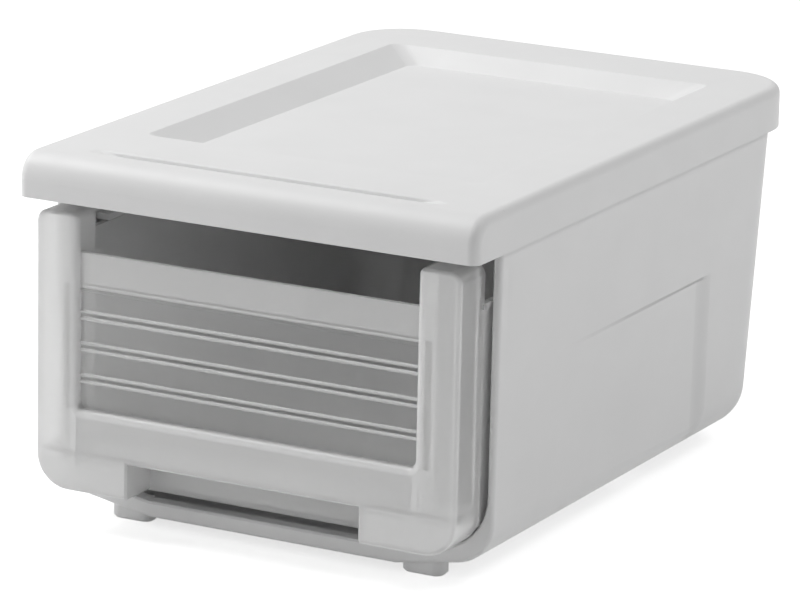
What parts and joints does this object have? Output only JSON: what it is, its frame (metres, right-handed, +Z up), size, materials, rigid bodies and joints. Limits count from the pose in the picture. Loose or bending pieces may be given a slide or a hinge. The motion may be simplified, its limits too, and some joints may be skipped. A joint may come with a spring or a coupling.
{
  "type": "stackable drawer box",
  "caption": "Low stackable storage box with a lift-off lid and a see-through drawer with a ribbed front and finger notch.",
  "frame": {"origin": "on the ground, under the middle of the lid's plan", "axes": "+X to the right, -Y towards the drawer's front, +Z up"},
  "size_m": [0.2466, 0.36, 0.185],
  "materials": {
    "case_white": "fine satin",
    "lid_white": "fine satin",
    "frosted_clear": "frosted, see-through"
  },
  "bodies": {
    "case": {"case": "case_white"},
    "lid": {"lid": "lid_white"},
    "drawer": {"drawer": "frosted_clear"}
  },
  "joints": [
    {"name": "drawer_slide", "type": "slide", "parent": "case", "child": "drawer", "axis": [0, -1, 0], "range_m": [0, 0.24]},
    {"name": "lid_lift", "type": "slide", "parent": "case", "child": "lid", "axis": [0, 0, 1], "range_m": [0, 0.06]}
  ]
}
